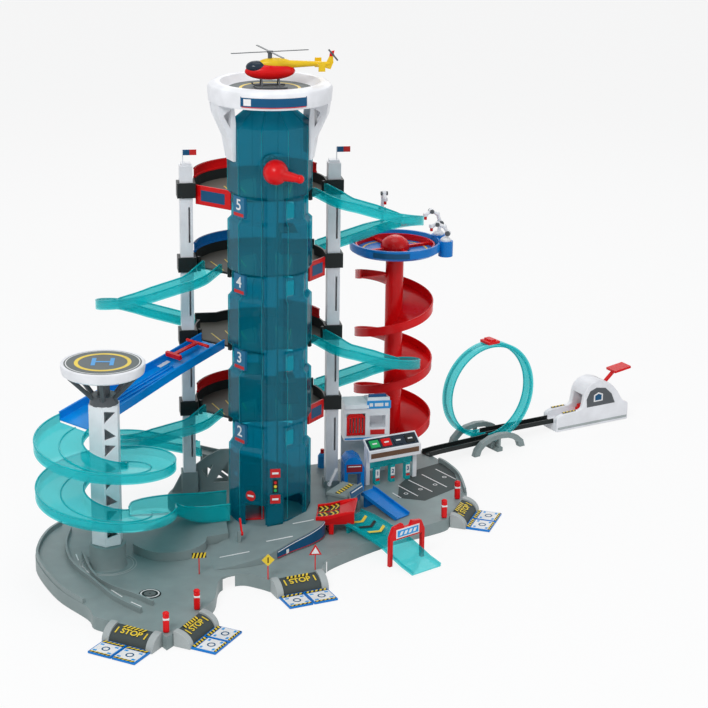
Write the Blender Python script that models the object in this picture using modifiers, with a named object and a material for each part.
"""Toy car service station: a five-storey garage tower with a car lift, parking decks,
spiral ramps, a slide, helicopter pads, a looping track and a car launcher.
Metres, +Z up. The origin is on the floor under the tower's axis; -Y is the crank side."""

import math

import bmesh
import bpy
from mathutils import Matrix, Vector

GAP = 0.0003
SKIN = 0.003

# Ground mouldings
BASE_TOP = 0.028
BASE_FLOOR = 0.004
BASE_WALL = 0.004
CURB_TOP = 0.039
CURB_WIDTH = 0.005
PLINTH_LOW = 0.042
PLINTH_HIGH = 0.062
PLINTH_BANK = 0.048

# Tower
TOWER_APOTHEM = 0.085
TOWER_WAIST = 0.077
TOWER_SIDES = 10
TOWER_SHOULDER = 0.917
TOWER_TOP = 0.952
TOWER_CAP_RADIUS = 0.046
WAIST_HALF = 0.023
WAIST_SLOPE = 0.008
SPINE_HALF = 0.017
SPINE_FRONT = 0.095
SPINE_HEAD = 0.038
CRANK_HEIGHT = 0.833
SHAFT_RADIUS = 0.005

# Storeys
STOREY = 0.167
FIRST_DECK = 0.230
DECK_RADIUS = 0.148
DECK_CENTRE = 0.180
DECK_SLAB = 0.005
RAIL_ABOVE = 0.022
RAIL_BELOW = 0.010
RAIL_WALL = 0.004
GUARD_RISE = 0.022
DOOR_HEIGHT = 0.050

# Columns
COLUMN_X = 0.163
COLUMN_WIDTH = 0.028
COLUMN_TOP = 0.790
COLUMN_WALL = 0.003
CLAMP_WIDTH = 0.040
CLAMP_DEPTH = 0.038

# Teal troughs
LANE = 0.050
LANE_SIDE = 0.018
TURN_RADIUS = 0.090
TURN_X = 0.250
TROUGH_WALL = 0.0025

# Lift
CAGE_BOTTOM = 0.0455
CAGE_SPACING = 0.334
CAGE_RIGHT = 0.311
CAGE_HEIGHT = 0.046
CAGE_IN = 0.0183
CAGE_OUT = 0.060
CAGE_LENGTH = 0.078
SPROCKET_RADIUS = 0.016
SPROCKET_TIP = SPROCKET_RADIUS - 0.0025
SPROCKET_ROOT = SPROCKET_RADIUS - 0.0055
SPROCKET_TEETH = 8
CHAIN_HALF = 0.0015
CHAIN_WIDTH = 0.008
CHAIN_BOTTOM = 0.075

# Left spiral and its helicopter pad
SPIRAL_X = -0.365
SPIRAL_Y = -0.202
SPIRAL_IN = 0.091
SPIRAL_OUT = 0.144
SPIRAL_PITCH = 0.1035
SPIRAL_SIDE = 0.019
PAD_RADIUS = 0.086
PAD_TOP = 0.473
FOOT_RADIUS = 0.038
FOOT_TOP = 0.080

# Right spiral and the bowl above it
BOWL_X = 0.338
BOWL_Y = 0.367
BOWL_RADIUS = 0.107
BOWL_TOP = 0.558
BOWL_DEPTH = 0.025
TABLE_RING = BOWL_RADIUS - 0.014
TABLE_HUB = 0.034
RED_COLUMN = 0.021
RED_OUT = 0.091
RED_PITCH = 0.141
RED_SIDE = 0.018

# Launcher, tracks and loop
LOOP_X = 0.597
LOOP_Y = 0.465
LOOP_RADIUS = 0.122
LOOP_WIDTH = 0.026
LOOP_SHIFT = 0.038
TRACK_WIDTH = 0.030
TRACK_FLOOR = 0.024
TRACK_A = math.radians(29.9)
TRACK_B = math.radians(21.0)

# Top pad
TOP_PAD_OUT = 0.130
TOP_PAD_IN = 0.090
TOP_PAD_BOTTOM = 0.966
TOP_PAD_TOP = 1.005
TOP_PAD_FLOOR = 0.990


def collection(name):
    made = bpy.data.collections.new(name)
    bpy.context.scene.collection.children.link(made)
    return made


for old in list(bpy.data.objects):
    bpy.data.objects.remove(old, do_unlink=True)
PARTS = collection("toy_car_service_station")
TOOLS = collection("cutters")


def plastic(name, colour, roughness=0.35, clear=0.0):
    made = bpy.data.materials.new(name)
    made.use_nodes = True
    shader = made.node_tree.nodes["Principled BSDF"]
    shader.inputs["Base Color"].default_value = (*colour, 1.0)
    shader.inputs["Roughness"].default_value = roughness
    shader.inputs["Metallic"].default_value = 0.0
    shader.inputs["Transmission Weight"].default_value = clear
    return made


GREY = plastic("base_grey", (0.33, 0.40, 0.40), 0.45)
DARK_TEAL = plastic("tower_teal", (0.0, 0.30, 0.36), 0.15, 0.5)
TEAL = plastic("ramp_teal", (0.02, 0.62, 0.66), 0.15, 0.5)
WHITE = plastic("white", (0.82, 0.83, 0.86), 0.35)
BLACK = plastic("deck_black", (0.03, 0.035, 0.035), 0.45)
RED = plastic("red", (0.72, 0.02, 0.02), 0.3)
BLUE = plastic("blue", (0.01, 0.20, 0.62), 0.3)
STEEL_GREY = plastic("chain_grey", (0.25, 0.26, 0.27), 0.4)


def solid(mesh, at=(0, 0, 0), turn=(0, 0, 0)):
    """A shape, kept as a helper until it is made a part."""
    made = bpy.data.objects.new("shape", mesh)
    TOOLS.objects.link(made)
    made.location = at
    made.rotation_euler = turn
    made.hide_render = True
    made.display_type = "WIRE"
    return made


def finish_mesh(mesh, weld=1e-6):
    bm = bmesh.new()
    bm.from_mesh(mesh)
    bmesh.ops.remove_doubles(bm, verts=bm.verts, dist=weld)
    bmesh.ops.recalc_face_normals(bm, faces=bm.faces)
    bm.to_mesh(mesh)
    bm.free()
    mesh.shade_smooth()
    mesh.set_sharp_from_angle(angle=math.radians(32))
    return mesh


def baked(source):
    """The evaluated mesh of a helper, as a new helper at the same place."""
    graph = bpy.context.evaluated_depsgraph_get()
    mesh = bpy.data.meshes.new_from_object(source.evaluated_get(graph))
    matrix = source.matrix_world.copy()
    bpy.data.objects.remove(source, do_unlink=True)
    made = solid(finish_mesh(mesh))
    made.matrix_world = matrix
    return made


def part(name, shape, material):
    shape.name = name
    shape.data.name = name
    TOOLS.objects.unlink(shape)
    PARTS.objects.link(shape)
    shape.hide_render = False
    shape.display_type = "TEXTURED"
    shape.data.materials.clear()
    shape.data.materials.append(material)
    return shape


def boolean(target, tool, operation):
    step = target.modifiers.new(operation.lower(), "BOOLEAN")
    step.operation = operation
    step.solver = "EXACT"
    step.object = tool


def join(target, *tools):
    for tool in tools:
        boolean(target, tool, "UNION")
    return target


def cut(target, *tools):
    for tool in tools:
        boolean(target, tool, "DIFFERENCE")
    return target


def from_bmesh(bm, at=(0, 0, 0), turn=(0, 0, 0)):
    mesh = bpy.data.meshes.new("shape")
    bm.to_mesh(mesh)
    bm.free()
    mesh.shade_smooth()
    mesh.set_sharp_from_angle(angle=math.radians(32))
    return solid(mesh, at, turn)


def box(size, at, turn=(0, 0, 0)):
    bm = bmesh.new()
    bmesh.ops.create_cube(bm, size=1.0)
    bmesh.ops.scale(bm, vec=size, verts=bm.verts)
    return from_bmesh(bm, at, turn)


def span(low, high):
    size = [b - a for a, b in zip(low, high)]
    return box(size, [(a + b) / 2 for a, b in zip(low, high)])


def rod(radius, length, at, turn=(0, 0, 0), top=None, sides=24):
    bm = bmesh.new()
    bmesh.ops.create_cone(
        bm, cap_ends=True, segments=sides, radius1=radius,
        radius2=radius if top is None else top, depth=length,
    )
    return from_bmesh(bm, at, turn)


def ball(radius, at, stretch=(1, 1, 1), turn=(0, 0, 0), rings=10):
    bm = bmesh.new()
    bmesh.ops.create_uvsphere(bm, u_segments=2 * rings, v_segments=rings, radius=radius)
    bmesh.ops.scale(bm, vec=stretch, verts=bm.verts)
    return from_bmesh(bm, at, turn)


def slab(outline, bottom, top, holes=()):
    """A flat outline, with holes, extruded from one height to another."""
    curve = bpy.data.curves.new("outline", "CURVE")
    curve.dimensions = "2D"
    curve.fill_mode = "BOTH"
    curve.extrude = (top - bottom) / 2
    for loop in (outline, *holes):
        spline = curve.splines.new("POLY")
        spline.points.add(len(loop) - 1)
        for point, (x, y) in zip(spline.points, loop):
            point.co = (x, y, 0, 1)
        spline.use_cyclic_u = True
    made = bpy.data.objects.new("outline", curve)
    TOOLS.objects.link(made)
    made.location = (0, 0, (top + bottom) / 2)
    bpy.context.view_layer.update()
    return baked(made)


def upright(outline, thickness, at, azimuth=0.0, holes=()):
    """An outline drawn as (along, up), standing on the plane that azimuth gives."""
    made = slab(outline, -thickness / 2, thickness / 2, holes)
    made.rotation_euler = (math.pi / 2, 0, azimuth)
    made.location = at
    return made


def turned(profile, at=(0, 0, 0), steps=32, closed=False, turn=(0, 0, 0)):
    """A profile of (radius, height) points, top to bottom on its outer side, turned about Z."""
    mesh = bpy.data.meshes.new("turned")
    count = len(profile)
    edges = [(i, i + 1) for i in range(count - 1)]
    if closed:
        edges.append((count - 1, 0))
    mesh.from_pydata([(r, 0, z) for r, z in profile], edges, [])
    made = solid(mesh, at, turn)
    screw = made.modifiers.new("turn", "SCREW")
    screw.steps = steps
    screw.render_steps = steps
    screw.use_merge_vertices = True
    screw.merge_threshold = 0.00001
    bpy.context.view_layer.update()
    return baked(made)


def helix(section, at, start, sweep, rise, steps, wall):
    """An open section of (radius, height) points swept about Z with a rise, given a wall."""
    mesh = bpy.data.meshes.new("helix")
    mesh.from_pydata(
        [(r, 0, z) for r, z in section], [(i, i + 1) for i in range(len(section) - 1)], []
    )
    made = solid(mesh, at, (0, 0, start))
    screw = made.modifiers.new("turn", "SCREW")
    screw.angle = sweep
    screw.screw_offset = rise
    screw.steps = steps
    screw.render_steps = steps
    screw.use_merge_vertices = False
    shell = made.modifiers.new("wall", "SOLIDIFY")
    shell.thickness = wall
    shell.offset = 0.0
    shell.use_even_offset = True
    bpy.context.view_layer.update()
    return baked(made)


def trough(path, width, side, wall):
    """A U-shaped channel along a path; the path runs on the floor's middle."""
    section = bpy.data.curves.new("section", "CURVE")
    section.dimensions = "2D"
    spline = section.splines.new("POLY")
    spline.points.add(3)
    half = width / 2 - wall / 2
    for point, (x, y) in zip(
        spline.points, ((-half, side), (-half, -wall / 2), (half, -wall / 2), (half, side))
    ):
        point.co = (x, y, 0, 1)
    profile = bpy.data.objects.new("section", section)
    TOOLS.objects.link(profile)
    profile.hide_render = True
    curve = bpy.data.curves.new("path", "CURVE")
    curve.dimensions = "3D"
    curve.twist_mode = "Z_UP"
    curve.bevel_mode = "OBJECT"
    curve.bevel_object = profile
    run = curve.splines.new("POLY")
    run.points.add(len(path) - 1)
    for point, place in zip(run.points, path):
        point.co = (*place, 1)
    made = bpy.data.objects.new("path", curve)
    TOOLS.objects.link(made)
    bpy.context.view_layer.update()
    sheet = baked(made)
    shell = sheet.modifiers.new("wall", "SOLIDIFY")
    shell.thickness = wall
    shell.offset = 0.0
    shell.use_even_offset = True
    bpy.context.view_layer.update()
    made = baked(sheet)
    bpy.data.objects.remove(profile, do_unlink=True)
    return made


def tube(path, radius, sides=2, closed=False):
    curve = bpy.data.curves.new("tube", "CURVE")
    curve.dimensions = "3D"
    curve.bevel_depth = radius
    curve.bevel_resolution = sides
    curve.use_fill_caps = True
    run = curve.splines.new("POLY")
    run.points.add(len(path) - 1)
    for point, place in zip(run.points, path):
        point.co = (*place, 1)
    run.use_cyclic_u = closed
    made = bpy.data.objects.new("tube", curve)
    TOOLS.objects.link(made)
    bpy.context.view_layer.update()
    return baked(made)


def arc(centre, radius, start, end, count):
    """Points on an arc, angles in degrees."""
    points = []
    for i in range(count + 1):
        angle = math.radians(start + (end - start) * i / count)
        points.append((centre[0] + radius * math.cos(angle), centre[1] + radius * math.sin(angle)))
    return points


def climb(points, first, last, level=0.0):
    """Plan points given heights that change evenly, with a level stretch at each end."""
    points = [Vector(p) for p in points]
    if level:
        points.insert(1, points[0].lerp(points[1], level / (points[1] - points[0]).length))
        points.insert(-1, points[-1].lerp(points[-2], level / (points[-2] - points[-1]).length))
    lengths = [0.0]
    for a, b in zip(points, points[1:]):
        lengths.append(lengths[-1] + (b - a).length)
    low = level
    high = lengths[-1] - level
    path = []
    for point, length in zip(points, lengths):
        share = min(1.0, max(0.0, (length - low) / (high - low)))
        path.append((point.x, point.y, first + (last - first) * share))
    return path


def band(path, width):
    """The outline of a strip of a given width along a plan path."""
    left = []
    right = []
    for i, here in enumerate(path):
        before = Vector(path[max(i - 1, 0)])
        after = Vector(path[min(i + 1, len(path) - 1)])
        along = (after - before).normalized()
        across = Vector((-along.y, along.x)) * width / 2
        left.append(tuple(Vector(here) + across))
        right.append(tuple(Vector(here) - across))
    return left + right[::-1]


def inset(outline, distance):
    """An outline moved inwards; it runs clockwise or anticlockwise."""
    area = sum(a[0] * b[1] - b[0] * a[1] for a, b in zip(outline, outline[1:] + outline[:1]))
    sign = 1 if area > 0 else -1
    moved = []
    count = len(outline)
    for i, here in enumerate(outline):
        a = (Vector(here) - Vector(outline[i - 1])).normalized()
        b = (Vector(outline[(i + 1) % count]) - Vector(here)).normalized()
        na = Vector((-a.y, a.x)) * sign
        nb = Vector((-b.y, b.x)) * sign
        bisector = (na + nb).normalized()
        reach = distance / max(0.35, bisector.dot(na))
        moved.append(tuple(Vector(here) + bisector * reach))
    return moved


def polar(x, y, radius, degrees):
    angle = math.radians(degrees)
    return (x + radius * math.cos(angle), y + radius * math.sin(angle))


def deck_level(number):
    return FIRST_DECK + STOREY * (number - 2)


def local(origin, heading, along, across):
    """A plan point given along and across a heading, in radians."""
    return (
        origin[0] + along * math.cos(heading) - across * math.sin(heading),
        origin[1] + along * math.sin(heading) + across * math.cos(heading),
    )


# ---- Entries: hump, side humps and two hinged-looking drive-on pads ----
ENTRY_PAD_WIDTH = 0.055
ENTRY_PAD_DEPTH = 0.058
ENTRY_PAD_THICK = 0.005
ENTRY_HUMP_DEPTH = 0.034
ENTRY_HALF = 0.058
ENTRY_HUMP_HALF = 0.043
POST_RADIUS = 0.0055
POST_HEIGHT = 0.039
ENTRIES = {
    "entry_left": ((-0.343, -0.5405), math.radians(-126.5), -1),
    "entry_mid_left": ((-0.1945, -0.519), math.radians(-34.7), 1),
    "entry_front": ((0.0265, -0.3415), math.radians(-73.9), 0),
    "entry_right": ((0.455, -0.0025), math.radians(-27.7), 2),
}


def entry_corner(key, side):
    centre, heading, _ = ENTRIES[key]
    return local(centre, heading, -ENTRY_HUMP_DEPTH, side * ENTRY_HALF)


def hump(centre, heading, low, high, half, offset, top, foot, under):
    """A rounded road hump that falls outwards from the base's top to the floor."""
    rise = top - foot
    outline = [(low, under), (low, top)]
    for i in range(1, 4):
        angle = math.pi / 2 * i / 3
        outline.append((low + (high - low) * math.sin(angle), foot + rise * math.cos(angle)))
    outline.append((high, under))
    place = local(centre, heading, 0, offset)
    return upright(outline, half * 2, (place[0], place[1], 0), heading)


def make_entry(key):
    centre, heading, posts = ENTRIES[key]
    inner = -ENTRY_HUMP_DEPTH + GAP
    shape = hump(centre, heading, inner, 0.001, ENTRY_HUMP_HALF, 0, BASE_TOP, 0.004, 0.0008)
    side_half = (ENTRY_HALF - ENTRY_HUMP_HALF) / 2
    side_at = ENTRY_HUMP_HALF + side_half
    for side in (-1, 1):
        flank = hump(centre, heading, inner + 0.0004, 0.004, side_half + 0.0002, side * side_at,
                     BASE_TOP + 0.005, 0.003, 0.0005)
        join(shape, flank)
    for side in (-1, 1):
        place = local(centre, heading, ENTRY_PAD_DEPTH / 2 - 0.001, side * ENTRY_PAD_WIDTH / 2)
        pad = box(
            (ENTRY_PAD_DEPTH + 0.002, ENTRY_PAD_WIDTH - 0.002, ENTRY_PAD_THICK),
            (place[0], place[1], ENTRY_PAD_THICK / 2), (0, 0, heading),
        )
        join(shape, pad)
    return part(key, shape, BLUE)


for entry in ENTRIES:
    make_entry(entry)


# ---- Barrier places ----
BARRIER_HUB = 0.005
BARRIER_FRONT = (-0.078, -0.145, 0.057, math.radians(95), 0.034, math.radians(50))
BARRIER_BACK = (0.148, 0.105, 0.060, math.radians(20), 0.040, math.radians(62))


def barrier_post(barrier, bottom):
    """The fixed post that a barrier turns beside."""
    x, y, z, heading = barrier[:4]
    place = local((x, y), heading, 0, BARRIER_HUB / 2 + GAP + 0.003)
    top = z + 0.006
    return box((0.010, 0.006, top - bottom), (*place, (top + bottom) / 2), (0, 0, heading))


# ---- Base ----
left_hump = entry_corner("entry_mid_left", -1)
left_end = entry_corner("entry_left", 1)
middle = ((left_hump[0] + left_end[0]) / 2 - 0.003, (left_hump[1] + left_end[1]) / 2 - 0.016)
BASE_OUTLINE = [
    (-0.460, 0.034), (-0.490, -0.020), (-0.510, -0.095), (-0.512, -0.172), (-0.473, -0.305),
    (-0.415, -0.407), (-0.404, -0.450),
    entry_corner("entry_left", -1), left_end, middle, left_hump,
    entry_corner("entry_mid_left", 1),
    (-0.160, -0.395), (-0.141, -0.310), (-0.096, -0.285), (-0.060, -0.305),
    entry_corner("entry_front", -1), entry_corner("entry_front", 1),
    (0.082, -0.262), (0.110, -0.222), (0.236, -0.131), (0.372, -0.065),
    entry_corner("entry_right", -1), entry_corner("entry_right", 1),
    (0.466, 0.092), (0.472, 0.192), (0.458, 0.266), (0.436, 0.328), (0.412, 0.378),
    (0.345, 0.410), (0.285, 0.405), (0.240, 0.370), (0.200, 0.335), (0.165, 0.320),
    (0.060, 0.300), (0.040, 0.215), (-0.110, 0.212), (-0.200, 0.205), (-0.215, 0.150),
    (-0.180, 0.060), (-0.230, 0.000), (-0.300, -0.040), (-0.380, -0.010),
]
base = slab(BASE_OUTLINE, 0.0, BASE_TOP)

RIM_LEFT = [(-0.457, 0.020), (-0.486, -0.025), (-0.5065, -0.097), (-0.508, -0.172), (-0.469, -0.304), (-0.422, -0.388)]
CURB_OUTER = [(-0.438, -0.016), (-0.450, -0.099), (-0.440, -0.197), (-0.399, -0.295), (-0.360, -0.381), (-0.311, -0.449)]
CURB_INNER = [(-0.416, -0.150), (-0.398, -0.262), (-0.362, -0.330), (-0.322, -0.372), (-0.285, -0.417)]
RIM_RIGHT = [(0.462, 0.094), (0.4675, 0.192), (0.4535, 0.264), (0.441, 0.292)]
for way in (RIM_LEFT, CURB_OUTER, CURB_INNER, RIM_RIGHT):
    join(base, slab(band(way, CURB_WIDTH), BASE_TOP - 0.002, CURB_TOP))

join(base, rod(FOOT_RADIUS, FOOT_TOP - 0.026, (SPIRAL_X, SPIRAL_Y, (FOOT_TOP + 0.026) / 2), sides=18))

SLEEVE = COLUMN_WIDTH + 0.008
join(base, span((-COLUMN_X - SLEEVE / 2, DECK_CENTRE - SLEEVE / 2, 0.026),
                (-COLUMN_X + SLEEVE / 2, DECK_CENTRE + SLEEVE / 2, 0.081)))
join(base, span((COLUMN_X - SLEEVE / 2, DECK_CENTRE - SLEEVE / 2, 0.026),
                (COLUMN_X + SLEEVE / 2, DECK_CENTRE + SLEEVE / 2, 0.044)))
# Truss wall between the left column and the tower
join(base, upright(
    [(-0.205, 0.026), (-0.178, 0.078), (-0.147, 0.092), (-0.122, 0.112), (-0.092, 0.126), (-0.062, 0.126), (-0.062, 0.026)],
    0.005, (0, 0.186, 0), 0.0,
    holes=([(-0.136, 0.078), (-0.108, 0.092), (-0.122, 0.060)], [(-0.108, 0.046), (-0.074, 0.096), (-0.074, 0.046)])))
# Landing of the lowest ramp: a road that falls to the base, on two side walls
ROAD_START = -0.128
ROAD_END = 0.085
ROAD_TOP = 0.088
for side in (-1, 1):
    join(base, upright(
        [(ROAD_START, 0.0), (ROAD_START, ROAD_TOP + 0.008), (ROAD_END, BASE_TOP + 0.008), (ROAD_END, 0.0)],
        0.004, (0, 0.270 + side * 0.027, 0), 0.0,
        holes=([(ROAD_START + 0.012, 0.012), (ROAD_START + 0.012, 0.062), (ROAD_START + 0.075, 0.012)],
               [(ROAD_START + 0.088, 0.012), (ROAD_START + 0.030, 0.060), (ROAD_START + 0.088, 0.046)])))
join(base, upright(
    [(ROAD_START, ROAD_TOP - 0.005), (ROAD_START, ROAD_TOP), (ROAD_END, BASE_TOP), (ROAD_END, BASE_TOP - 0.005)],
    0.054, (0, 0.270, 0), 0.0))
# Fuel bottle with its cap, and the posts of the road signs
join(base, rod(0.010, 0.036, (0.160, 0.297, 0.044), sides=10))
join(base, rod(0.004, 0.012, (0.160, 0.297, 0.066), sides=6))
for x, y, tall in ((-0.043, -0.322, 0.040), (0.060, -0.288, 0.040), (-0.181, -0.277, 0.050)):
    join(base, box((0.003, 0.003, tall + 0.002), (x, y, BASE_TOP + tall / 2 - 0.001)))
for x, y in ((-0.043, -0.322), (0.060, -0.288)):
    join(base, box((0.018, 0.002, 0.018), (x, y, BASE_TOP + 0.044), (0, math.radians(45), 0)))
for x, y in ((-0.268, -0.540), (-0.200, -0.445), (0.384, -0.045), (0.436, 0.060)):
    join(base, box((2 * POST_RADIUS, 2 * POST_RADIUS, POST_HEIGHT), (x, y, BASE_TOP + POST_HEIGHT / 2 - 0.001)))
join(base, barrier_post(BARRIER_BACK, BASE_TOP - 0.002))
cut(base, slab(inset(BASE_OUTLINE, BASE_WALL), -0.01, BASE_TOP - BASE_FLOOR))
cut(base, rod(FOOT_RADIUS - SKIN, FOOT_TOP + 0.007, (SPIRAL_X, SPIRAL_Y, (FOOT_TOP - SKIN - 0.010) / 2), sides=18))
join(base, rod(0.014, BASE_TOP - 0.001, (0, 0, (BASE_TOP - 0.001) / 2), sides=10))
for side in (-1, 1):
    hole = COLUMN_WIDTH + 2 * GAP
    cut(base, span((side * COLUMN_X - hole / 2, DECK_CENTRE - hole / 2, BASE_TOP),
                   (side * COLUMN_X + hole / 2, DECK_CENTRE + hole / 2, 0.100)))
part("base", base, GREY)


# ---- Plinth road round the tower ----
PLINTH_OUTLINE = [
    (-0.150, -0.262), (-0.093, -0.258), (-0.035, -0.240), (0.022, -0.195), (0.070, -0.160),
    (0.100, -0.125), (0.110, -0.080), (0.104, -0.040), (0.098, 0.060), (0.060, 0.108),
    (-0.060, 0.108), (-0.100, 0.060), (-0.104, -0.110), (-0.150, -0.150),
]
BANK_OUTLINE = [
    (-0.100, 0.020), (-0.104, -0.118), (-0.152, -0.130), (-0.161, -0.165), (-0.200, -0.200), (-0.262, -0.200),
    (-0.300, -0.165), (-0.308, -0.130), (-0.270, -0.060), (-0.190, 0.005),
]
ROAD_SLOPE = (PLINTH_HIGH - PLINTH_LOW) / 0.130
plinth_floor = BASE_TOP + GAP
plinth = slab(PLINTH_OUTLINE, plinth_floor, PLINTH_HIGH)
tilt = math.atan(ROAD_SLOPE)
slicer = box((0.600, 0.700, 0.100), (0, 0, 0), (0, -tilt, 0))
mid_height = PLINTH_LOW + ROAD_SLOPE * 0.060
slicer.location = (
    -0.050 * math.sin(tilt) * 1.0, 0.0, mid_height + 0.050 / math.cos(tilt) - 0.050 * math.sin(tilt) * ROAD_SLOPE,
)
cut(plinth, slicer)
join(plinth, slab(BANK_OUTLINE, plinth_floor, PLINTH_BANK))
pocket = TOWER_APOTHEM / math.cos(math.pi / TOWER_SIDES) + 0.0006
cut(plinth, rod(pocket, 0.100, (0, 0, PLINTH_LOW + 0.050), (0, 0, math.pi / TOWER_SIDES), sides=TOWER_SIDES))
cut(plinth, span((-SPINE_HALF - 0.0006, -SPINE_FRONT - 0.0006, PLINTH_LOW), (SPINE_HALF + 0.0006, -0.070, 0.100)))
join(plinth, barrier_post(BARRIER_FRONT, PLINTH_LOW - 0.008))
part("plinth_road", plinth, GREY)


# ---- Tower shell ----
def tower_profile(inner):
    def reach(apothem):
        return (apothem - inner) / math.cos(math.pi / TOWER_SIDES)

    points = [(0.0, TOWER_TOP - inner), (TOWER_CAP_RADIUS - inner / 2, TOWER_TOP - inner)]
    points.append((reach(TOWER_APOTHEM), TOWER_SHOULDER - inner * 0.4))
    for number in (5, 4, 3, 2):
        middle_z = deck_level(number) + 0.014
        points.append((reach(TOWER_APOTHEM), middle_z + WAIST_HALF + WAIST_SLOPE))
        points.append((reach(TOWER_WAIST), middle_z + WAIST_HALF))
        points.append((reach(TOWER_WAIST), middle_z - WAIST_HALF))
        points.append((reach(TOWER_APOTHEM), middle_z - WAIST_HALF - WAIST_SLOPE))
    foot = PLINTH_LOW + GAP if inner == 0 else PLINTH_LOW - 0.010
    points.append((reach(TOWER_APOTHEM), foot))
    points.append((0.0, foot))
    return points


tower = turned(tower_profile(0.0), steps=TOWER_SIDES)
join(tower, span((-SPINE_HALF, -SPINE_FRONT, PLINTH_LOW + GAP), (SPINE_HALF, -0.070, CRANK_HEIGHT)))
join(tower, rod(SPINE_HEAD, 0.026, (0, -0.081, CRANK_HEIGHT), (math.pi / 2, 0, 0), sides=24))
cut(tower, turned(tower_profile(SKIN), steps=TOWER_SIDES))
cut(tower, rod(SHAFT_RADIUS + GAP, 0.080, (0, -0.080, CRANK_HEIGHT), (math.pi / 2, 0, 0), sides=12))
# Ground doors, then a pair of doors to each deck at the back
DOOR_IN = 0.020
DOOR_OUT = 0.060
cut(tower, span((-0.061, -0.100, PLINTH_LOW - 0.005), (-DOOR_IN, -0.040, 0.093)))
cut(tower, span((DOOR_IN, -0.100, 0.058), (0.064, -0.040, 0.112)))
for number in (2, 3, 4, 5):
    floor = deck_level(number)
    for side in (-1, 1):
        a, b = sorted((side * DOOR_IN, side * (DOOR_OUT - 0.004)))
        cut(tower, span((a, 0.050, floor), (b, 0.100, floor + DOOR_HEIGHT)))
    cut(tower, span((0.024, -0.100, floor - 0.004), (0.046, -0.060, floor + 0.030)))
part("tower_shell", tower, DARK_TEAL)


# ---- Lift ----
def sprocket(at):
    """A toothed wheel that stands in the XZ plane."""
    outline = []
    for i in range(SPROCKET_TEETH):
        for offset, radius in ((-9, SPROCKET_ROOT), (-5, SPROCKET_TIP), (5, SPROCKET_TIP), (9, SPROCKET_ROOT)):
            angle = math.radians(360 * i / SPROCKET_TEETH + offset)
            outline.append((radius * math.cos(angle), radius * math.sin(angle)))
    return upright(outline, 0.006, at)


crank = turned(
    [(0.0, 0.030), (0.012, 0.027), (0.022, 0.018), (0.026, 0.004), (0.026, 0.0), (0.0, 0.0)],
    at=(0, -SPINE_FRONT - GAP, CRANK_HEIGHT), steps=16, turn=(math.pi / 2, 0, 0),
)
CRANK_TILT = math.radians(14.6)
CRANK_ARM = 0.050
hand = (math.cos(CRANK_TILT), 0, -math.sin(CRANK_TILT))
arm_turn = (0, math.pi / 2 + CRANK_TILT, 0)
join(crank, rod(0.013, CRANK_ARM - 0.012, (hand[0] * 0.026, -0.110, CRANK_HEIGHT + hand[2] * 0.026), arm_turn,
                top=0.0075, sides=10))
join(crank, ball(0.0085, (hand[0] * CRANK_ARM, -0.110, CRANK_HEIGHT + hand[2] * CRANK_ARM), rings=4))
join(crank, rod(SHAFT_RADIUS, 0.105, (0, -0.0475, CRANK_HEIGHT), (math.pi / 2, 0, 0), sides=12))
join(crank, sprocket((0, 0, CRANK_HEIGHT)))
part("crank", crank, RED)

idler = sprocket((0, 0, CHAIN_BOTTOM))
join(idler, rod(0.003, 0.030, (0, 0, CHAIN_BOTTOM), (math.pi / 2, 0, 0), sides=8))
part("lift_idler", idler, STEEL_GREY)


def stadium(radius):
    upper = arc((0, CRANK_HEIGHT), radius, 0, 180, 8)
    lower = arc((0, CHAIN_BOTTOM), radius, 180, 360, 8)
    return upper + lower


chain = upright(
    stadium(SPROCKET_RADIUS + CHAIN_HALF), CHAIN_WIDTH, (0, 0, 0), 0.0,
    holes=(stadium(SPROCKET_RADIUS - CHAIN_HALF),),
)
part("lift_chain", chain, STEEL_GREY)


def cage(name, side, floor):
    roof = floor + CAGE_HEIGHT
    shape = upright(
        [(CAGE_IN, floor - 0.0025), (CAGE_OUT, floor - 0.0025), (CAGE_OUT, floor), (CAGE_IN + 0.002, floor),
         (CAGE_IN + 0.002, roof - 0.002), (CAGE_OUT - 0.006, roof - 0.002), (CAGE_OUT - 0.006, roof), (CAGE_IN, roof)],
        CAGE_LENGTH, (0, 0, 0), 0.0 if side > 0 else math.pi,
    )
    return part(name, shape, RED)


cage("cage_left_low", -1, CAGE_BOTTOM)
cage("cage_left_high", -1, CAGE_BOTTOM + CAGE_SPACING)
cage("cage_right_low", 1, CAGE_RIGHT)
cage("cage_right_high", 1, CAGE_RIGHT + CAGE_SPACING)


# ---- Decks ----
CHORD_LEFT = ((-0.139, 0.173), (-0.073, 0.111))
CHORD_RIGHT = ((0.101, 0.116), (0.139, 0.160))
DECK_FRONT = TOWER_APOTHEM + GAP
PORCH_X = 0.137
PORCH_HALF = 0.028
PORCH_Y = DECK_CENTRE + TURN_RADIUS


RIM_STEP = 16
RIM_ANGLES = [2 + RIM_STEP * i for i in range(12)]
RIM = DECK_RADIUS - RAIL_WALL / 2


def rim_point(degrees):
    return polar(0, DECK_CENTRE, RIM, degrees)


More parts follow.
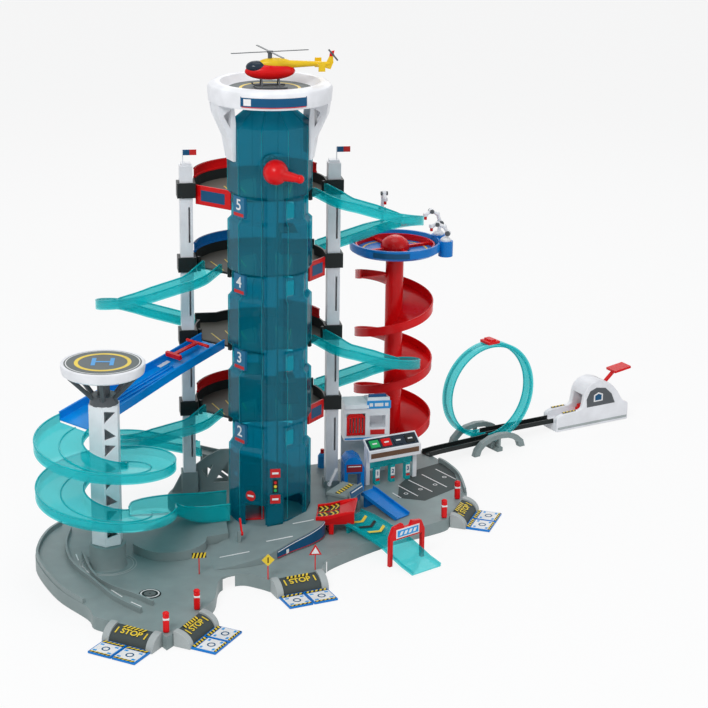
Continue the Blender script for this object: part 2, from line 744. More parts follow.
def deck_ways(entry):
    """Plan paths of the rail: from the left column to the right one, by way of the porch if there is one."""
    rim = [rim_point(degrees) for degrees in reversed(RIM_ANGLES)]
    if entry == 0:
        return [rim]
    gates = []
    for side in (1, -1):
        y = PORCH_Y + side * (PORCH_HALF - RAIL_WALL / 2)
        x = math.sqrt(RIM ** 2 - (y - DECK_CENTRE) ** 2)
        gates.append(((x, y), (PORCH_X, y)))
    upper = [p for p in rim if p[0] < gates[0][0][0] - 0.006]
    lower = [p for p in rim if p[0] > 0 and p[1] < gates[1][0][1] - 0.006]
    ways = [upper + list(gates[0]), [gates[1][1], gates[1][0]] + lower]
    if entry < 0:
        ways = [[(-x, y) for x, y in reversed(way)] for way in reversed(ways)]
    return ways


def deck_outline(entry):
    points = [(-0.070, DECK_FRONT), CHORD_LEFT[1], CHORD_LEFT[0]]
    for way in deck_ways(entry):
        points += way
    points += [CHORD_RIGHT[1], CHORD_RIGHT[0], (0.070, DECK_FRONT)]
    return points


def make_deck(number, left, right, entry, guards):
    """left and right: 'open' or 'panel'; entry: side of the incoming ramp; guards: (first, last) angles."""
    floor = deck_level(number)
    low = floor - RAIL_BELOW
    high = floor + RAIL_ABOVE
    deck = slab(deck_outline(entry), floor - DECK_SLAB, floor)
    for way in deck_ways(entry):
        join(deck, slab(band(way, RAIL_WALL), low, high))
    # Clamps round the columns
    for side in (-1, 1):
        centre = side * COLUMN_X
        join(deck, span((centre - CLAMP_WIDTH / 2, DECK_CENTRE - CLAMP_DEPTH / 2, low - 0.0006),
                        (centre + CLAMP_WIDTH / 2, DECK_CENTRE + CLAMP_DEPTH / 2, high + 0.0006)))
        hole = COLUMN_WIDTH + 2 * GAP
        cut(deck, span((centre - hole / 2, DECK_CENTRE - hole / 2, low - 0.01),
                       (centre + hole / 2, DECK_CENTRE + hole / 2, high + 0.01)))
    # Panels on the closed front corners
    for chord, kind in ((CHORD_LEFT, left), (CHORD_RIGHT, right)):
        mid = ((chord[0][0] + chord[1][0]) / 2, (chord[0][1] + chord[1][1]) / 2)
        heading = math.atan2(chord[1][1] - chord[0][1], chord[1][0] - chord[0][0])
        length = math.dist(*chord)
        if kind == "panel":
            join(deck, box((length + 0.004, 0.004, 0.042), (mid[0], mid[1], floor - 0.006), (0, 0, heading)))
        else:
            for end in (-1, 1):
                place = (mid[0] + end * (length / 2 - 0.003) * math.cos(heading),
                         mid[1] + end * (length / 2 - 0.003) * math.sin(heading))
                join(deck, box((0.007, 0.005, high - low - 0.0004), (place[0], place[1], (high + low) / 2), (0, 0, heading)))
    # Coloured guards above the rail
    for first, last in guards:
        way = [rim_point(a) for a in (first, *(a for a in RIM_ANGLES if first + 3 < a < last - 3), last)]
        join(deck, slab(band(way, RAIL_WALL - 0.001), high - 0.002, high + GUARD_RISE))
    return part("deck_%d" % number, deck, BLACK)


make_deck(5, "panel", "open", 0, ((25, 70), (110, 165)))
make_deck(4, "open", "panel", 1, ((112, 168),))
make_deck(3, "open", "open", -1, ((18, 66),))
make_deck(2, "open", "panel", 1, ((112, 162),))


# ---- Columns ----
def make_column(name, x, flag_side):
    shape = span((x - COLUMN_WIDTH / 2, DECK_CENTRE - COLUMN_WIDTH / 2, BASE_TOP + GAP),
                 (x + COLUMN_WIDTH / 2, DECK_CENTRE + COLUMN_WIDTH / 2, COLUMN_TOP))
    cap = box((COLUMN_WIDTH - 0.006, COLUMN_WIDTH - 0.006, 0.008), (x, DECK_CENTRE, COLUMN_TOP + 0.002))
    join(shape, cap)
    inner = COLUMN_WIDTH / 2 - COLUMN_WALL
    cut(shape, span((x - inner, DECK_CENTRE - inner, 0.0), (x + inner, DECK_CENTRE + inner, COLUMN_TOP - COLUMN_WALL)))
    for number in (5, 4, 3, 2):
        centre = deck_level(number) - 0.072
        cut(shape, span((x + 0.004, DECK_CENTRE - COLUMN_WIDTH, centre - 0.040),
                        (x + 0.008, DECK_CENTRE - COLUMN_WIDTH / 2 + 0.004, centre + 0.040)))
    pole_x = x + flag_side * 0.006
    join(shape, rod(0.0012, 0.030, (pole_x, DECK_CENTRE, COLUMN_TOP + 0.019), sides=6))
    join(shape, span((pole_x - 0.0005, DECK_CENTRE - 0.0006, COLUMN_TOP + 0.022),
                     (pole_x + 0.030, DECK_CENTRE + 0.0006, COLUMN_TOP + 0.034)))
    return part(name, shape, WHITE)


make_column("column_left", -COLUMN_X, -1)
make_column("column_right", COLUMN_X, 1)


# ---- Half-turn ramps between decks ----
ARM_Y = DECK_CENTRE - TURN_RADIUS
RAMP_LEVEL = 0.006


def ramp_way(side, chord, end_x, tail=()):
    """Plan of a ramp: out through the deck's front corner, round the half turn, back along the rear arm."""
    a, b = (chord if side > 0 else (chord[1], chord[0]))
    mid = Vector(((a[0] + b[0]) / 2 * side, (a[1] + b[1]) / 2))
    along = (Vector((b[0] * side, b[1])) - Vector((a[0] * side, a[1]))).normalized()
    out = Vector((along.y, -along.x))
    if out.y > 0:
        out = -out
    start = mid + out * 0.0035
    heading = math.atan2(out.y, out.x)
    drop = start.y - ARM_Y
    bend = 0.055
    straight = (drop - bend * (1 - math.cos(heading))) / math.sin(-heading)
    corner = start + out * max(0.004, straight)
    centre = corner + Vector((-out.y, out.x)) * bend
    points = [tuple(start)]
    points += arc(tuple(centre), bend, math.degrees(heading) - 90, -90, 3)
    points = [p for p in points if p[0] < TURN_X - 0.01]
    points += arc((TURN_X, DECK_CENTRE), TURN_RADIUS, -90, 90, 10)
    points.append((end_x, DECK_CENTRE + TURN_RADIUS))
    return [(x * side, y) for x, y in points]


def make_ramp(name, side, chord, upper, lower_height, end_x=PORCH_X + 2 * GAP):
    way = ramp_way(side, chord, end_x)
    path = climb(way, deck_level(upper) - 0.001, lower_height, RAMP_LEVEL)
    return part(name, trough(path, LANE, LANE_SIDE, TROUGH_WALL), TEAL)


make_ramp("ramp_right_upper", 1, CHORD_RIGHT, 5, deck_level(4) + 0.002)
make_ramp("ramp_left_upper", -1, CHORD_LEFT, 4, deck_level(3) + 0.002)
make_ramp("ramp_right_lower", 1, CHORD_RIGHT, 3, deck_level(2) + 0.002)
make_ramp("ramp_left_lower", -1, CHORD_LEFT, 2, ROAD_TOP + 0.002, end_x=-ROAD_START + 2 * GAP)


# ---- Blue slide from deck 3 to the left spiral ----
SLIDE_WIDTH = 0.074
SLIDE_START = (-0.111, 0.137)
SPIRAL_FIRST = 128.0
spiral_mid = (SPIRAL_IN + SPIRAL_OUT) / 2
slide_end = polar(SPIRAL_X, SPIRAL_Y, spiral_mid, SPIRAL_FIRST)
slide_dir = (Vector(slide_end) - Vector(SLIDE_START)).normalized()
SLIDE_LOW = 0.309
slide_way = [SLIDE_START, tuple(Vector(SLIDE_START) + slide_dir * 0.060),
             tuple(Vector(slide_end) - slide_dir * 0.060), tuple(Vector(slide_end) - slide_dir * 0.0012)]
slide = trough(climb(slide_way, deck_level(3) - 0.002, SLIDE_LOW + 0.004), SLIDE_WIDTH, 0.016, TROUGH_WALL)
rib = Vector((-slide_dir.y, slide_dir.x))
slope = (deck_level(3) - 0.002 - SLIDE_LOW - 0.004) / math.dist(SLIDE_START, slide_end)
divider_mid = Vector(SLIDE_START) * 0.42 + Vector(slide_end) * 0.58
divider_z = (deck_level(3) - 0.002) * 0.42 + (SLIDE_LOW + 0.004) * 0.58
join(slide, box((0.200, 0.003, 0.006), (divider_mid.x, divider_mid.y, divider_z + 0.001),
                (0, math.atan(slope), math.atan2(slide_dir.y, slide_dir.x))))
part("slide", slide, BLUE)

GATE_AT = Vector(SLIDE_START) + slide_dir * 0.045
gate_heading = math.atan2(slide_dir.y, slide_dir.x)
gate_z = deck_level(3) - 0.002 - slope * 0.045 + 0.016 + 0.0045
gate = rod(0.0035, SLIDE_WIDTH - 0.004, (GATE_AT.x, GATE_AT.y, gate_z), (math.pi / 2, 0, gate_heading), sides=12)
arm_mid = GATE_AT + slide_dir * 0.036
join(gate, box((0.074, 0.010, 0.004), (arm_mid.x, arm_mid.y, gate_z - 0.001 - slope * 0.020),
               (0, math.atan(slope) * 0.9, gate_heading)))
bar = GATE_AT + slide_dir * 0.070
join(gate, box((0.007, 0.046, 0.010), (bar.x, bar.y, gate_z - 0.005 - slope * 0.040), (0, math.atan(slope), gate_heading)))
part("slide_gate", gate, RED)


# ---- Left spiral ----
SPIRAL_SWEEP = 592.0
spiral_top = SLIDE_LOW - 0.003
spiral_section = [
    (SPIRAL_OUT, SPIRAL_SIDE), (SPIRAL_OUT, 0.0), (SPIRAL_IN, 0.0), (SPIRAL_IN, SPIRAL_SIDE),
]
spiral = helix(
    spiral_section, (SPIRAL_X, SPIRAL_Y, spiral_top), math.radians(SPIRAL_FIRST),
    math.radians(SPIRAL_SWEEP), -SPIRAL_PITCH * SPIRAL_SWEEP / 360, 33, TROUGH_WALL,
)
spiral_end = spiral_top - SPIRAL_PITCH * SPIRAL_SWEEP / 360
exit_x = SPIRAL_X + spiral_mid
exit_way = [(exit_x, SPIRAL_Y - 0.002), (exit_x + 0.001, SPIRAL_Y + 0.040), (-0.238, -0.112), (-0.216, -0.068),
            (-0.180, -0.034), (-0.138, -0.018), (-0.112, -0.016)]
exit_heights = climb(exit_way, spiral_end, PLINTH_BANK + TROUGH_WALL + GAP)
exit_heights.append((-0.0925, -0.016, exit_heights[-1][2]))
join(spiral, trough(exit_heights, SPIRAL_OUT - SPIRAL_IN + TROUGH_WALL, SPIRAL_SIDE, TROUGH_WALL))
part("spiral_left", spiral, TEAL)


# ---- Helicopter pad on its post ----
POST_WIDTH = 0.026
post_top = 0.400
heliport = rod(POST_WIDTH, post_top - FOOT_TOP - GAP, (SPIRAL_X, SPIRAL_Y, (post_top + FOOT_TOP + GAP) / 2),
               (0, 0, math.radians(30)), sides=6)
cut(heliport, rod(POST_WIDTH - SKIN, post_top - FOOT_TOP, (SPIRAL_X, SPIRAL_Y, (post_top + FOOT_TOP) / 2 - 0.006),
                  (0, 0, math.radians(30)), sides=6))
for level in range(4):
    z = 0.125 + level * 0.072
    up = upright([(-0.010, z - 0.018), (-0.010, z + 0.018), (0.012, z - (-1) ** level * 0.012)], 0.060, (SPIRAL_X + 0.001, SPIRAL_Y - 0.020, 0))
    cut(heliport, up)
join(heliport, rod(POST_WIDTH - 0.006, PAD_TOP - 0.020 - post_top + 0.004, (SPIRAL_X, SPIRAL_Y, (PAD_TOP - 0.020 + post_top - 0.004) / 2), sides=8))
join(heliport, turned(
    [(0.0, PAD_TOP), (PAD_RADIUS - 0.004, PAD_TOP), (PAD_RADIUS, PAD_TOP - 0.005), (PAD_RADIUS - 0.002, PAD_TOP - 0.020),
     (PAD_RADIUS - 0.008, PAD_TOP - 0.024), (0.0, PAD_TOP - 0.024)],
    at=(SPIRAL_X, SPIRAL_Y, 0), steps=24,
))
for degrees in (30, 120, 210, 300):
    foot = polar(SPIRAL_X, SPIRAL_Y, 0.020, degrees)
    head = polar(SPIRAL_X, SPIRAL_Y, PAD_RADIUS - 0.012, degrees)
    low_z = post_top - 0.012
    high_z = PAD_TOP - 0.020
    mid = ((foot[0] + head[0]) / 2, (foot[1] + head[1]) / 2, (low_z + high_z) / 2)
    run = math.dist(foot, head)
    length = math.hypot(run, high_z - low_z)
    join(heliport, box((length, 0.012, 0.007), mid, (0, -math.atan2(high_z - low_z, run), math.radians(degrees))))
part("heliport", heliport, WHITE)


# ---- Bowl, turntable, robots ----
bowl = turned(
    [(BOWL_RADIUS - 0.006, BOWL_TOP), (BOWL_RADIUS, BOWL_TOP - 0.002), (BOWL_RADIUS - 0.001, BOWL_TOP - BOWL_DEPTH + 0.006),
     (BOWL_RADIUS - 0.010, BOWL_TOP - BOWL_DEPTH), (0.012, BOWL_TOP - BOWL_DEPTH), (0.012, BOWL_TOP - BOWL_DEPTH + 0.004),
     (BOWL_RADIUS - 0.012, BOWL_TOP - BOWL_DEPTH + 0.004)],
    at=(BOWL_X, BOWL_Y, 0), steps=28, closed=True,
)
ROBOTS = {
    "robot_right": (-12, BOWL_RADIUS + 0.011),
    "robot_back": (18, BOWL_RADIUS + 0.009),
    "robot_rear": (95, BOWL_RADIUS + 0.011),
}
for degrees, reach in ROBOTS.values():
    x, y = polar(BOWL_X, BOWL_Y, reach, degrees)
    join(bowl, rod(0.017, 0.036, (x, y, BOWL_TOP - 0.016), sides=12))


def robot_path(degrees, reach, facing, tall, foot):
    """Joint places of a picking robot: it stands, leans back and reaches along its facing."""
    x, y = polar(BOWL_X, BOWL_Y, reach, degrees)
    ux, uy = math.cos(math.radians(facing)), math.sin(math.radians(facing))
    joints = [(0, foot), (-0.004, 0.022 * tall), (0.004, 0.040 * tall), (0.020, 0.046 * tall), (0.034, 0.040 * tall)]
    return [(x + ux * r, y + uy * r, BOWL_TOP + 0.002 + h) for r, h in joints]


def add_robot(shape, path):
    join(shape, tube(path, 0.0044, 0))
    for i in (1, 3):
        join(shape, ball(0.0058, path[i], rings=3))
    join(shape, rod(0.0055, 0.007, path[4], sides=6))


add_robot(bowl, robot_path(*ROBOTS["robot_rear"], 270, 1.9, -0.004))
part("bowl", bowl, BLUE)

table = turned(
    [(0.0, BOWL_TOP + 0.012), (0.014, BOWL_TOP + 0.010), (TABLE_HUB - 0.006, BOWL_TOP + 0.001),
     (TABLE_HUB, BOWL_TOP - 0.012), (TABLE_HUB, BOWL_TOP - 0.019), (0.0, BOWL_TOP - 0.019)],
    at=(BOWL_X, BOWL_Y, 0), steps=18,
)
table_floor = BOWL_TOP - BOWL_DEPTH + 0.004 + GAP
join(table, turned(
    [(TABLE_RING, table_floor + 0.014), (TABLE_RING, table_floor), (TABLE_RING - 0.004, table_floor),
     (TABLE_RING - 0.004, table_floor + 0.014)],
    at=(BOWL_X, BOWL_Y, 0), steps=28, closed=True,
))
table_arm = TABLE_RING - 0.001 - TABLE_HUB + 0.004
for degrees in (20, 110, 200, 290):
    x, y = polar(BOWL_X, BOWL_Y, TABLE_HUB - 0.004 + table_arm / 2, degrees)
    join(table, box((table_arm, 0.010, 0.006), (x, y, table_floor + 0.003), (0, 0, math.radians(degrees))))
part("turntable", table, RED)


def make_robot(name, degrees, reach, facing, tall):
    x, y = polar(BOWL_X, BOWL_Y, reach, degrees)
    shape = rod(0.0125, 0.006, (x, y, BOWL_TOP + 0.002 + GAP + 0.003), sides=12)
    add_robot(shape, robot_path(degrees, reach, facing, tall, 0.004))
    return part(name, shape, WHITE)


make_robot("robot_right", *ROBOTS["robot_right"], 165, 0.85)
make_robot("robot_back", *ROBOTS["robot_back"], 190, 1.25)


# ---- Red spiral on its column ----
red_start = 200.0
RED_TURNS = 2.75
red_top = 0.478
red_section = [(RED_OUT, RED_SIDE), (RED_OUT, 0.0), (RED_COLUMN - 0.003, 0.0)]
red = rod(RED_COLUMN, BOWL_TOP - BOWL_DEPTH - GAP - BASE_TOP - GAP,
          (BOWL_X, BOWL_Y, (BOWL_TOP - BOWL_DEPTH + BASE_TOP) / 2), sides=16)
ribbon = helix(red_section, (BOWL_X, BOWL_Y, red_top), math.radians(red_start), -math.radians(360 * RED_TURNS),
               -RED_PITCH * RED_TURNS, 44, TROUGH_WALL)
for degrees in (20, 110, 200, 290):
    x, y = polar(BOWL_X, BOWL_Y, 0.040, degrees)
    cut(ribbon, rod(0.012, 0.600, (x, y, 0.300), (0, 0, math.radians(degrees)), sides=3))
join(red, ribbon)
part("spiral_right", red, RED)


# ---- Loop, tracks, launcher ----
LANE_HEADING = math.radians(25.0)
across = Vector((-math.sin(LANE_HEADING), math.cos(LANE_HEADING)))
front_lane = Vector((LOOP_X, LOOP_Y)) - across * LOOP_SHIFT / 2
back_lane = Vector((LOOP_X, LOOP_Y)) + across * LOOP_SHIFT / 2
loop_centre_z = TRACK_FLOOR + LOOP_RADIUS - TROUGH_WALL / 2

half_lane = LOOP_WIDTH / 2
loop_section = [(LOOP_RADIUS - 0.008, -half_lane), (LOOP_RADIUS, -half_lane), (LOOP_RADIUS, half_lane), (LOOP_RADIUS - 0.008, half_lane)]
ring = helix(loop_section, (0, 0, 0), 0.0, -math.radians(360), LOOP_SHIFT, 28, TROUGH_WALL)
# The helix turns about its own Z; it is stood up so that the seam is at the bottom
stand_up = (
    Matrix.Translation((front_lane.x, front_lane.y, loop_centre_z))
    @ Matrix.Rotation(LANE_HEADING, 4, "Z")
    @ Matrix.Rotation(math.radians(90), 4, "X").inverted()
    @ Matrix.Rotation(math.radians(90), 4, "Z")
)
ring.matrix_world = stand_up
clip = box((0.030, LOOP_WIDTH + 0.008, 0.007),
           (LOOP_X, LOOP_Y, loop_centre_z + LOOP_RADIUS + 0.0035), (0, 0, LANE_HEADING))
join(ring, clip)
part("loop", ring, TEAL)


def track(name, start, end, level):
    """A straight track; its ends are level, and its last piece squares up with the loop."""
    path = climb([start[:2], end[:2]], start[2], end[2], level)
    return part(name, trough(path, TRACK_WIDTH, 0.009, TROUGH_WALL), BLACK)


lane = Vector((math.cos(LANE_HEADING), math.sin(LANE_HEADING)))
A_END = front_lane - lane * 0.0025
A_DIR = Vector((math.cos(TRACK_A), math.sin(TRACK_A)))
A_START = A_END - A_DIR * 0.212
B_START = back_lane + lane * 0.0022
B_DIR = Vector((math.cos(TRACK_B), math.sin(TRACK_B)))
LAUNCHER_AT = B_START + B_DIR * 0.205
track("track_front", (A_START.x, A_START.y, BASE_TOP + TROUGH_WALL + GAP), (A_END.x, A_END.y, TRACK_FLOOR), 0.032)
track("track_back", (B_START.x, B_START.y, TRACK_FLOOR), (*(LAUNCHER_AT - B_DIR * GAP), TRACK_FLOOR), 0.02)

stand_top = TRACK_FLOOR - TROUGH_WALL - GAP
stand = box((0.016, 0.110, 0.010), (LOOP_X, LOOP_Y, 0.005), (0, 0, LANE_HEADING))
join(stand, box((0.030, 0.076, stand_top - 0.006), (LOOP_X, LOOP_Y, (stand_top + 0.006) / 2), (0, 0, LANE_HEADING)))
for side in (-1, 1):
    outer = [(0.078 * math.cos(math.pi * i / 8), 0.046 * math.sin(math.pi * i / 8)) for i in range(9)]
    inner = [(0.062 * math.cos(math.pi * i / 8), 0.034 * math.sin(math.pi * i / 8)) for i in range(8, -1, -1)]
    at = Vector((LOOP_X, LOOP_Y)) + across * side * 0.048
    foot = upright(outer + inner, 0.014, (at.x, at.y, 0), LANE_HEADING)
    join(foot, box((0.006, 0.010, 0.038), (at.x, at.y, 0.0195), (0, 0, LANE_HEADING)))
    join(stand, foot)
part("loop_stand", stand, GREY)

body_profile = [
    (0.0, 0.0), (0.0, 0.038), (0.020, 0.046), (0.078, 0.048), (0.084, 0.096), (0.100, 0.114), (0.128, 0.119),
    (0.160, 0.110), (0.190, 0.080), (0.206, 0.052), (0.222, 0.048), (0.224, 0.0),
]
LAUNCHER_WIDTH = 0.060
launcher = upright(body_profile, LAUNCHER_WIDTH, (LAUNCHER_AT.x, LAUNCHER_AT.y, 0), TRACK_B)


def launcher_point(along, side=0.0):
    place = LAUNCHER_AT + B_DIR * along + Vector((-B_DIR.y, B_DIR.x)) * side
    return place.x, place.y


x, y = launcher_point(0.085)
cut(launcher, box((0.180, 0.036, 0.060), (x, y, TRACK_FLOOR + 0.030), (0, 0, TRACK_B)))
x, y = launcher_point(0.172)
cut(launcher, box((0.050, 0.010, 0.200), (x, y, 0.130), (0, 0, TRACK_B)))
part("launcher", launcher, WHITE)

x, y = launcher_point(0.105)
pusher = box((0.030, 0.034, 0.016), (x, y, TRACK_FLOOR + GAP + 0.008), (0, 0, TRACK_B))
x, y = launcher_point(0.096)
join(pusher, box((0.012, 0.020, 0.026), (x, y, TRACK_FLOOR + 0.014), (0, 0, TRACK_B)))
part("launcher_pusher", pusher, RED)

LEVER_ALONG = 0.160
x, y = launcher_point(LEVER_ALONG)
lever_z = 0.094
lever = rod(0.0035, 0.0090, (x, y, lever_z), (math.pi / 2, 0, TRACK_B), sides=12)
x, y = launcher_point(LEVER_ALONG + 0.018)
join(lever, box((0.050, 0.007, 0.007), (x, y, lever_z + 0.017), (0, -math.radians(42), TRACK_B)))
x, y = launcher_point(LEVER_ALONG + 0.050)
join(lever, box((0.050, 0.038, 0.006), (x, y, lever_z + 0.038), (0, -math.radians(8), TRACK_B)))
part("launcher_lever", lever, RED)


# ---- Top pad ----
top_pad = turned(
    [(0.0, TOP_PAD_FLOOR), (TOP_PAD_IN, TOP_PAD_FLOOR), (TOP_PAD_IN + 0.014, TOP_PAD_TOP), (TOP_PAD_OUT - 0.012, TOP_PAD_TOP),
     (TOP_PAD_OUT, TOP_PAD_TOP - 0.010), (TOP_PAD_OUT - 0.002, TOP_PAD_BOTTOM),
     (TOP_PAD_OUT - 0.007, TOP_PAD_BOTTOM), (TOP_PAD_OUT - 0.010, TOP_PAD_FLOOR - 0.006), (0.0, TOP_PAD_FLOOR - 0.006)],
    steps=28,
)
LEG_DROP = 0.072
LEG_FOOT = TOWER_SHOULDER - LEG_DROP
LEG_WIDTH = 0.034
LEG_OFF = math.radians(9)
leg_in = (TOWER_APOTHEM + GAP + LEG_WIDTH / 2 * math.sin(LEG_OFF)) / math.cos(LEG_OFF)
for degrees in (45, 135, 225, 315):
    leg = upright(
        [(leg_in, LEG_FOOT), (leg_in + 0.006, LEG_FOOT), (leg_in + 0.014, LEG_FOOT + 0.045),
         (TOP_PAD_OUT - 0.008, TOP_PAD_BOTTOM - 0.026), (TOP_PAD_OUT - 0.0035, TOP_PAD_BOTTOM + 0.006),
         (TOP_PAD_IN + 0.002, TOP_PAD_FLOOR - 0.002), (leg_in, TOWER_SHOULDER + 0.008)],
        LEG_WIDTH, (0, 0, 0), math.radians(degrees),
        holes=([(leg_in + 0.012, TOP_PAD_BOTTOM - 0.051), (TOP_PAD_OUT - 0.017, TOP_PAD_BOTTOM - 0.023),
                (leg_in + 0.010, TOP_PAD_BOTTOM - 0.011)],),
    )
    join(top_pad, leg)
part("top_pad", top_pad, WHITE)


# ---- Helicopter: nose to the left ----
HELI_Z = TOP_PAD_FLOOR + GAP
heli = ball(0.021, (0.0, 0.0, HELI_Z + 0.036), (2.5, 0.95, 0.95), rings=6)
join(heli, ball(0.014, (0.010, 0.0, HELI_Z + 0.052), (2.3, 0.9, 0.75), rings=5))
join(heli, rod(0.0085, 0.090, (0.080, 0.0, HELI_Z + 0.048), (0, math.pi / 2, 0), top=0.0035, sides=8))
join(heli, upright([(0.112, 0.040), (0.124, 0.072), (0.134, 0.074), (0.132, 0.050), (0.126, 0.036)], 0.003, (0, 0, HELI_Z)))
join(heli, box((0.014, 0.056, 0.0025), (0.104, 0.0, HELI_Z + 0.048)))
for side in (-1, 1):
    join(heli, box((0.014, 0.0025, 0.020), (0.104, side * 0.028, HELI_Z + 0.046)))
    skid = side * 0.020
    join(heli, tube([(-0.034, skid, HELI_Z + 0.006), (-0.030, skid, HELI_Z + 0.0020), (0.030, skid, HELI_Z + 0.0020)], 0.0019, 0))
    for along in (-0.018, 0.018):
        join(heli, tube([(along, skid, HELI_Z + 0.002), (along, side * 0.008, HELI_Z + 0.022)], 0.0016, 0))
join(heli, rod(0.004, 0.012, (0.0, 0.0, HELI_Z + 0.065), sides=8))
part("helicopter", heli, RED)

ROTOR_Z = HELI_Z + 0.071 + GAP
rotor = rod(0.006, 0.005, (0.0, 0.0, ROTOR_Z + 0.0025), sides=8)
for i in range(4):
    angle = math.radians(12 + 90 * i)
    join(rotor, box((0.080, 0.0045, 0.0014), (0.044 * math.cos(angle), 0.044 * math.sin(angle), ROTOR_Z + 0.003), (0, 0, angle)))
part("rotor", rotor, STEEL_GREY)

TAIL = (0.131, -0.0018, HELI_Z + 0.066)
tail = rod(0.0025, 0.003, (TAIL[0], TAIL[1] - 0.0015, TAIL[2]), (math.pi / 2, 0, 0), sides=10)
join(tail, box((0.030, 0.0014, 0.0035), (TAIL[0], TAIL[1] - 0.002, TAIL[2]), (0, math.radians(50), 0)))
part("tail_rotor", tail, STEEL_GREY)


# ---- Jump ramp, landing ramp and arch ----
JUMP_TOP = 0.088
jump_outline = [(0.094, -0.038), (0.122, -0.030), (0.186, -0.100), (0.150, -0.176), (0.098, -0.176), (0.094, -0.130)]
jump = slab(jump_outline, JUMP_TOP - 0.004, JUMP_TOP)
join(jump, slab(band([(0.185, -0.102), (0.150, -0.174)], 0.004), PLINTH_HIGH + 0.006, JUMP_TOP - 0.001))
join(jump, slab(band([(0.149, -0.172), (0.102, -0.173)], 0.004), PLINTH_HIGH + 0.010, JUMP_TOP - 0.001))
join(jump, slab([(0.113, -0.060), (0.124, -0.072), (0.124, -0.134), (0.113, -0.120)], BASE_TOP + GAP, JUMP_TOP - 0.001))
part("jump_ramp", jump, RED)

landing_path = [(0.168, -0.074, 0.054), (0.192, -0.098, 0.050), (0.221, -0.133, 0.040), (0.248, -0.172, 0.0315),
                (0.266, -0.203, 0.021), (0.284, -0.234, 0.010), (0.302, -0.265, 0.0035)]
LANDING_WIDTH = 0.080
landing = trough(landing_path, LANDING_WIDTH, 0.006, TROUGH_WALL)
landing_turn = math.atan2(landing_path[1][1] - landing_path[0][1], landing_path[1][0] - landing_path[0][0])
join(landing, box((0.006, 0.060, 0.051 - BASE_TOP), (0.178, -0.084, (0.051 + BASE_TOP) / 2 + GAP), (0, 0, landing_turn)))
part("landing_ramp", landing, TEAL)

GATE_MID = (0.268, -0.2065)
arch_heading = math.pi / 2 + math.atan2(-0.031, 0.018)
arch_height = 0.088
ARCH_LEG = 0.008
arch_half = LANDING_WIDTH / 2 + ARCH_LEG + 2 * GAP
arch_gate = upright(
    [(-arch_half, 0.0), (-arch_half, 0.066), (-arch_half + 0.010, arch_height), (-0.014, arch_height + 0.004), (-0.008, arch_height - 0.006),
     (0.008, arch_height - 0.006), (0.014, arch_height + 0.004), (arch_half - 0.010, arch_height), (arch_half, 0.066), (arch_half, 0.0),
     (arch_half - ARCH_LEG, 0.0), (arch_half - ARCH_LEG, 0.058), (-arch_half + ARCH_LEG, 0.058), (-arch_half + ARCH_LEG, 0.0)],
    0.008, (GATE_MID[0], GATE_MID[1], 0), arch_heading,
)
part("arch_gate", arch_gate, RED)


# ---- Small buildings ----
HUT_TURN = math.radians(52)
hut = box((0.070, 0.046, 0.050), (0.169, 0.016, BASE_TOP + GAP + 0.025), (0, 0, HUT_TURN))
join(hut, box((0.076, 0.052, 0.006), (0.169, 0.016, 0.080), (0, 0, HUT_TURN)))
sign_at = local((0.169, 0.016), HUT_TURN, 0, -0.028)
join(hut, box((0.060, 0.004, 0.020), (sign_at[0], sign_at[1], 0.083), (math.radians(-20), 0, HUT_TURN)))
cut(hut, box((0.040, 0.080, 0.034), (0.169, 0.016, BASE_TOP + 0.017 - 0.001), (0, 0, HUT_TURN)))
part("hut", hut, GREY)

HOUSE_LEFT, HOUSE_RIGHT = 0.198, 0.304
HOUSE_FRONT, HOUSE_BACK = 0.208, 0.262
HOUSE_LOW, HOUSE_HIGH = 0.124, 0.204
house = span((HOUSE_LEFT, HOUSE_FRONT, HOUSE_LOW), (HOUSE_RIGHT, HOUSE_BACK, HOUSE_HIGH))
join(house, upright([(HOUSE_FRONT, HOUSE_HIGH - 0.001), (HOUSE_FRONT, 0.216), (HOUSE_FRONT + 0.006, 0.226), (HOUSE_BACK, 0.216),
                     (HOUSE_BACK, HOUSE_HIGH - 0.001)], 0.052, (0.278, 0, 0), math.pi / 2))
join(house, upright([(HOUSE_FRONT, HOUSE_HIGH - 0.001), (HOUSE_FRONT - 0.006, HOUSE_HIGH), (HOUSE_FRONT, 0.212), (HOUSE_BACK, 0.214),
                     (HOUSE_BACK, HOUSE_HIGH - 0.001)], 0.056, (0.226, 0, 0), math.pi / 2))
join(house, span((HOUSE_LEFT, HOUSE_BACK - 0.006, BASE_TOP + GAP), (HOUSE_RIGHT, HOUSE_BACK, HOUSE_LOW + 0.001)))
cut(house, span((0.203, HOUSE_FRONT - 0.010, 0.134), (0.247, HOUSE_BACK - 0.005, 0.190)))
cut(house, span((0.257, HOUSE_FRONT - 0.010, 0.154), (0.294, HOUSE_BACK - 0.020, 0.184)))
join(house, box((0.040, 0.008, 0.008), (0.277, HOUSE_FRONT + 0.018, 0.2245), (0, 0, 0)))
part("rescue_house", house, WHITE)

shutter = upright([(0.2034, 0.136), (0.2034, 0.181), (0.211, 0.1885), (0.239, 0.1885), (0.2466, 0.181), (0.2466, 0.136)],
                  0.002, (0, HOUSE_FRONT + 0.004, 0), 0.0,
                  holes=[[(0.2105 + 0.0072 * i, 0.141), (0.2105 + 0.0072 * i, 0.178), (0.2135 + 0.0072 * i, 0.178), (0.2135 + 0.0072 * i, 0.141)] for i in range(5)])
part("house_shutter", shutter, RED)

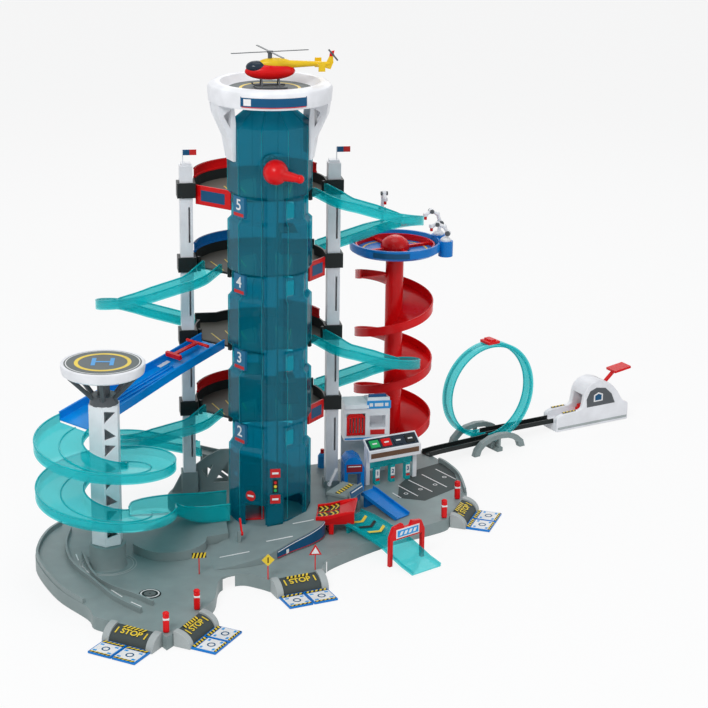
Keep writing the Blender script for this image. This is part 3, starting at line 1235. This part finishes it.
CANOPY_TURN = math.radians(18.5)
CANOPY_AT = (0.306, 0.188)
canopy_tilt = math.radians(38)
canopy = box((0.136, 0.038, 0.006), (CANOPY_AT[0], CANOPY_AT[1], 0.124), (canopy_tilt, 0, CANOPY_TURN))
lip = local(CANOPY_AT, CANOPY_TURN, 0, -0.0155)
join(canopy, box((0.136, 0.004, 0.024), (lip[0], lip[1], 0.102), (0, 0, CANOPY_TURN)))
for side in (-1, 1):
    x, y = local(CANOPY_AT, CANOPY_TURN, side * 0.062, 0.004)
    join(canopy, box((0.010, 0.010, 0.122 - BASE_TOP - GAP), (x, y, (0.122 + BASE_TOP + GAP) / 2), (0, 0, CANOPY_TURN)))
normal = Vector((math.sin(canopy_tilt) * math.sin(CANOPY_TURN), -math.sin(canopy_tilt) * math.cos(CANOPY_TURN), math.cos(canopy_tilt)))
BUTTON_PITCH = 0.031
for i in range(4):
    x, y = local(CANOPY_AT, CANOPY_TURN, (i - 1.5) * BUTTON_PITCH, 0)
    cut(canopy, box((0.0245, 0.0205, 0.020), (x, y, 0.124), (canopy_tilt, 0, CANOPY_TURN)))
part("canopy", canopy, WHITE)
for i in range(4):
    x, y = local(CANOPY_AT, CANOPY_TURN, (i - 1.5) * BUTTON_PITCH, 0)
    button = box((0.0235, 0.0195, 0.006), (x, y, 0.124), (canopy_tilt, 0, CANOPY_TURN))
    button.location = Vector(button.location) + normal * 0.0022
    part("button_%d" % (i + 1), button, BLACK)

x, y = local(CANOPY_AT, CANOPY_TURN, 0, 0.004)
pumps = box((0.113, 0.003, 0.034), (x, y, 0.083), (0, 0, CANOPY_TURN))
for i in range(3):
    x, y = local(CANOPY_AT, CANOPY_TURN, (i - 1) * 0.040, -0.001)
    join(pumps, box((0.012, 0.013, 0.070 - BASE_TOP - GAP), (x, y, (0.070 + BASE_TOP + GAP) / 2), (0, 0, CANOPY_TURN)))
part("pump_row", pumps, DARK_TEAL)

workshop = upright([(0.186, BASE_TOP + GAP), (0.186, 0.100), (0.196, 0.112), (0.212, 0.114), (0.226, 0.104), (0.232, 0.088), (0.232, BASE_TOP + GAP)],
                   0.050, (0, 0.150, 0), 0.0)
cut(workshop, span((0.194, 0.110, BASE_TOP - 0.01), (0.224, 0.190, 0.075)))
part("workshop", workshop, BLUE)

SERVICE_TURN = math.radians(-53)
service = trough([(0.2245, 0.052, 0.062), (0.232, 0.042, 0.060), (0.262, 0.000, 0.0455), (0.291, -0.038, 0.0315)], 0.046, 0.006, TROUGH_WALL)
join(service, box((0.006, 0.030, 0.0585 - BASE_TOP - GAP), (0.2300, 0.0445, (0.0585 + BASE_TOP + GAP) / 2), (0, 0, SERVICE_TURN)))
part("service_ramp", service, BLUE)


# ---- Barriers ----
def make_barrier(x, y, z, heading, length, raised):
    """A hub beside its post, and an arm that points along the heading, raised by an angle."""
    shape = rod(0.0045, BARRIER_HUB, (x, y, z), (math.pi / 2, 0, heading), sides=12)
    centre = local((x, y), heading, length / 2 * math.cos(raised), 0)
    join(shape, box((length, 0.0035, 0.006), (centre[0], centre[1], z + length / 2 * math.sin(raised)), (0, -raised, heading)))
    return shape


part("barrier_front", make_barrier(*BARRIER_FRONT), RED)
part("barrier_back", make_barrier(*BARRIER_BACK), WHITE)
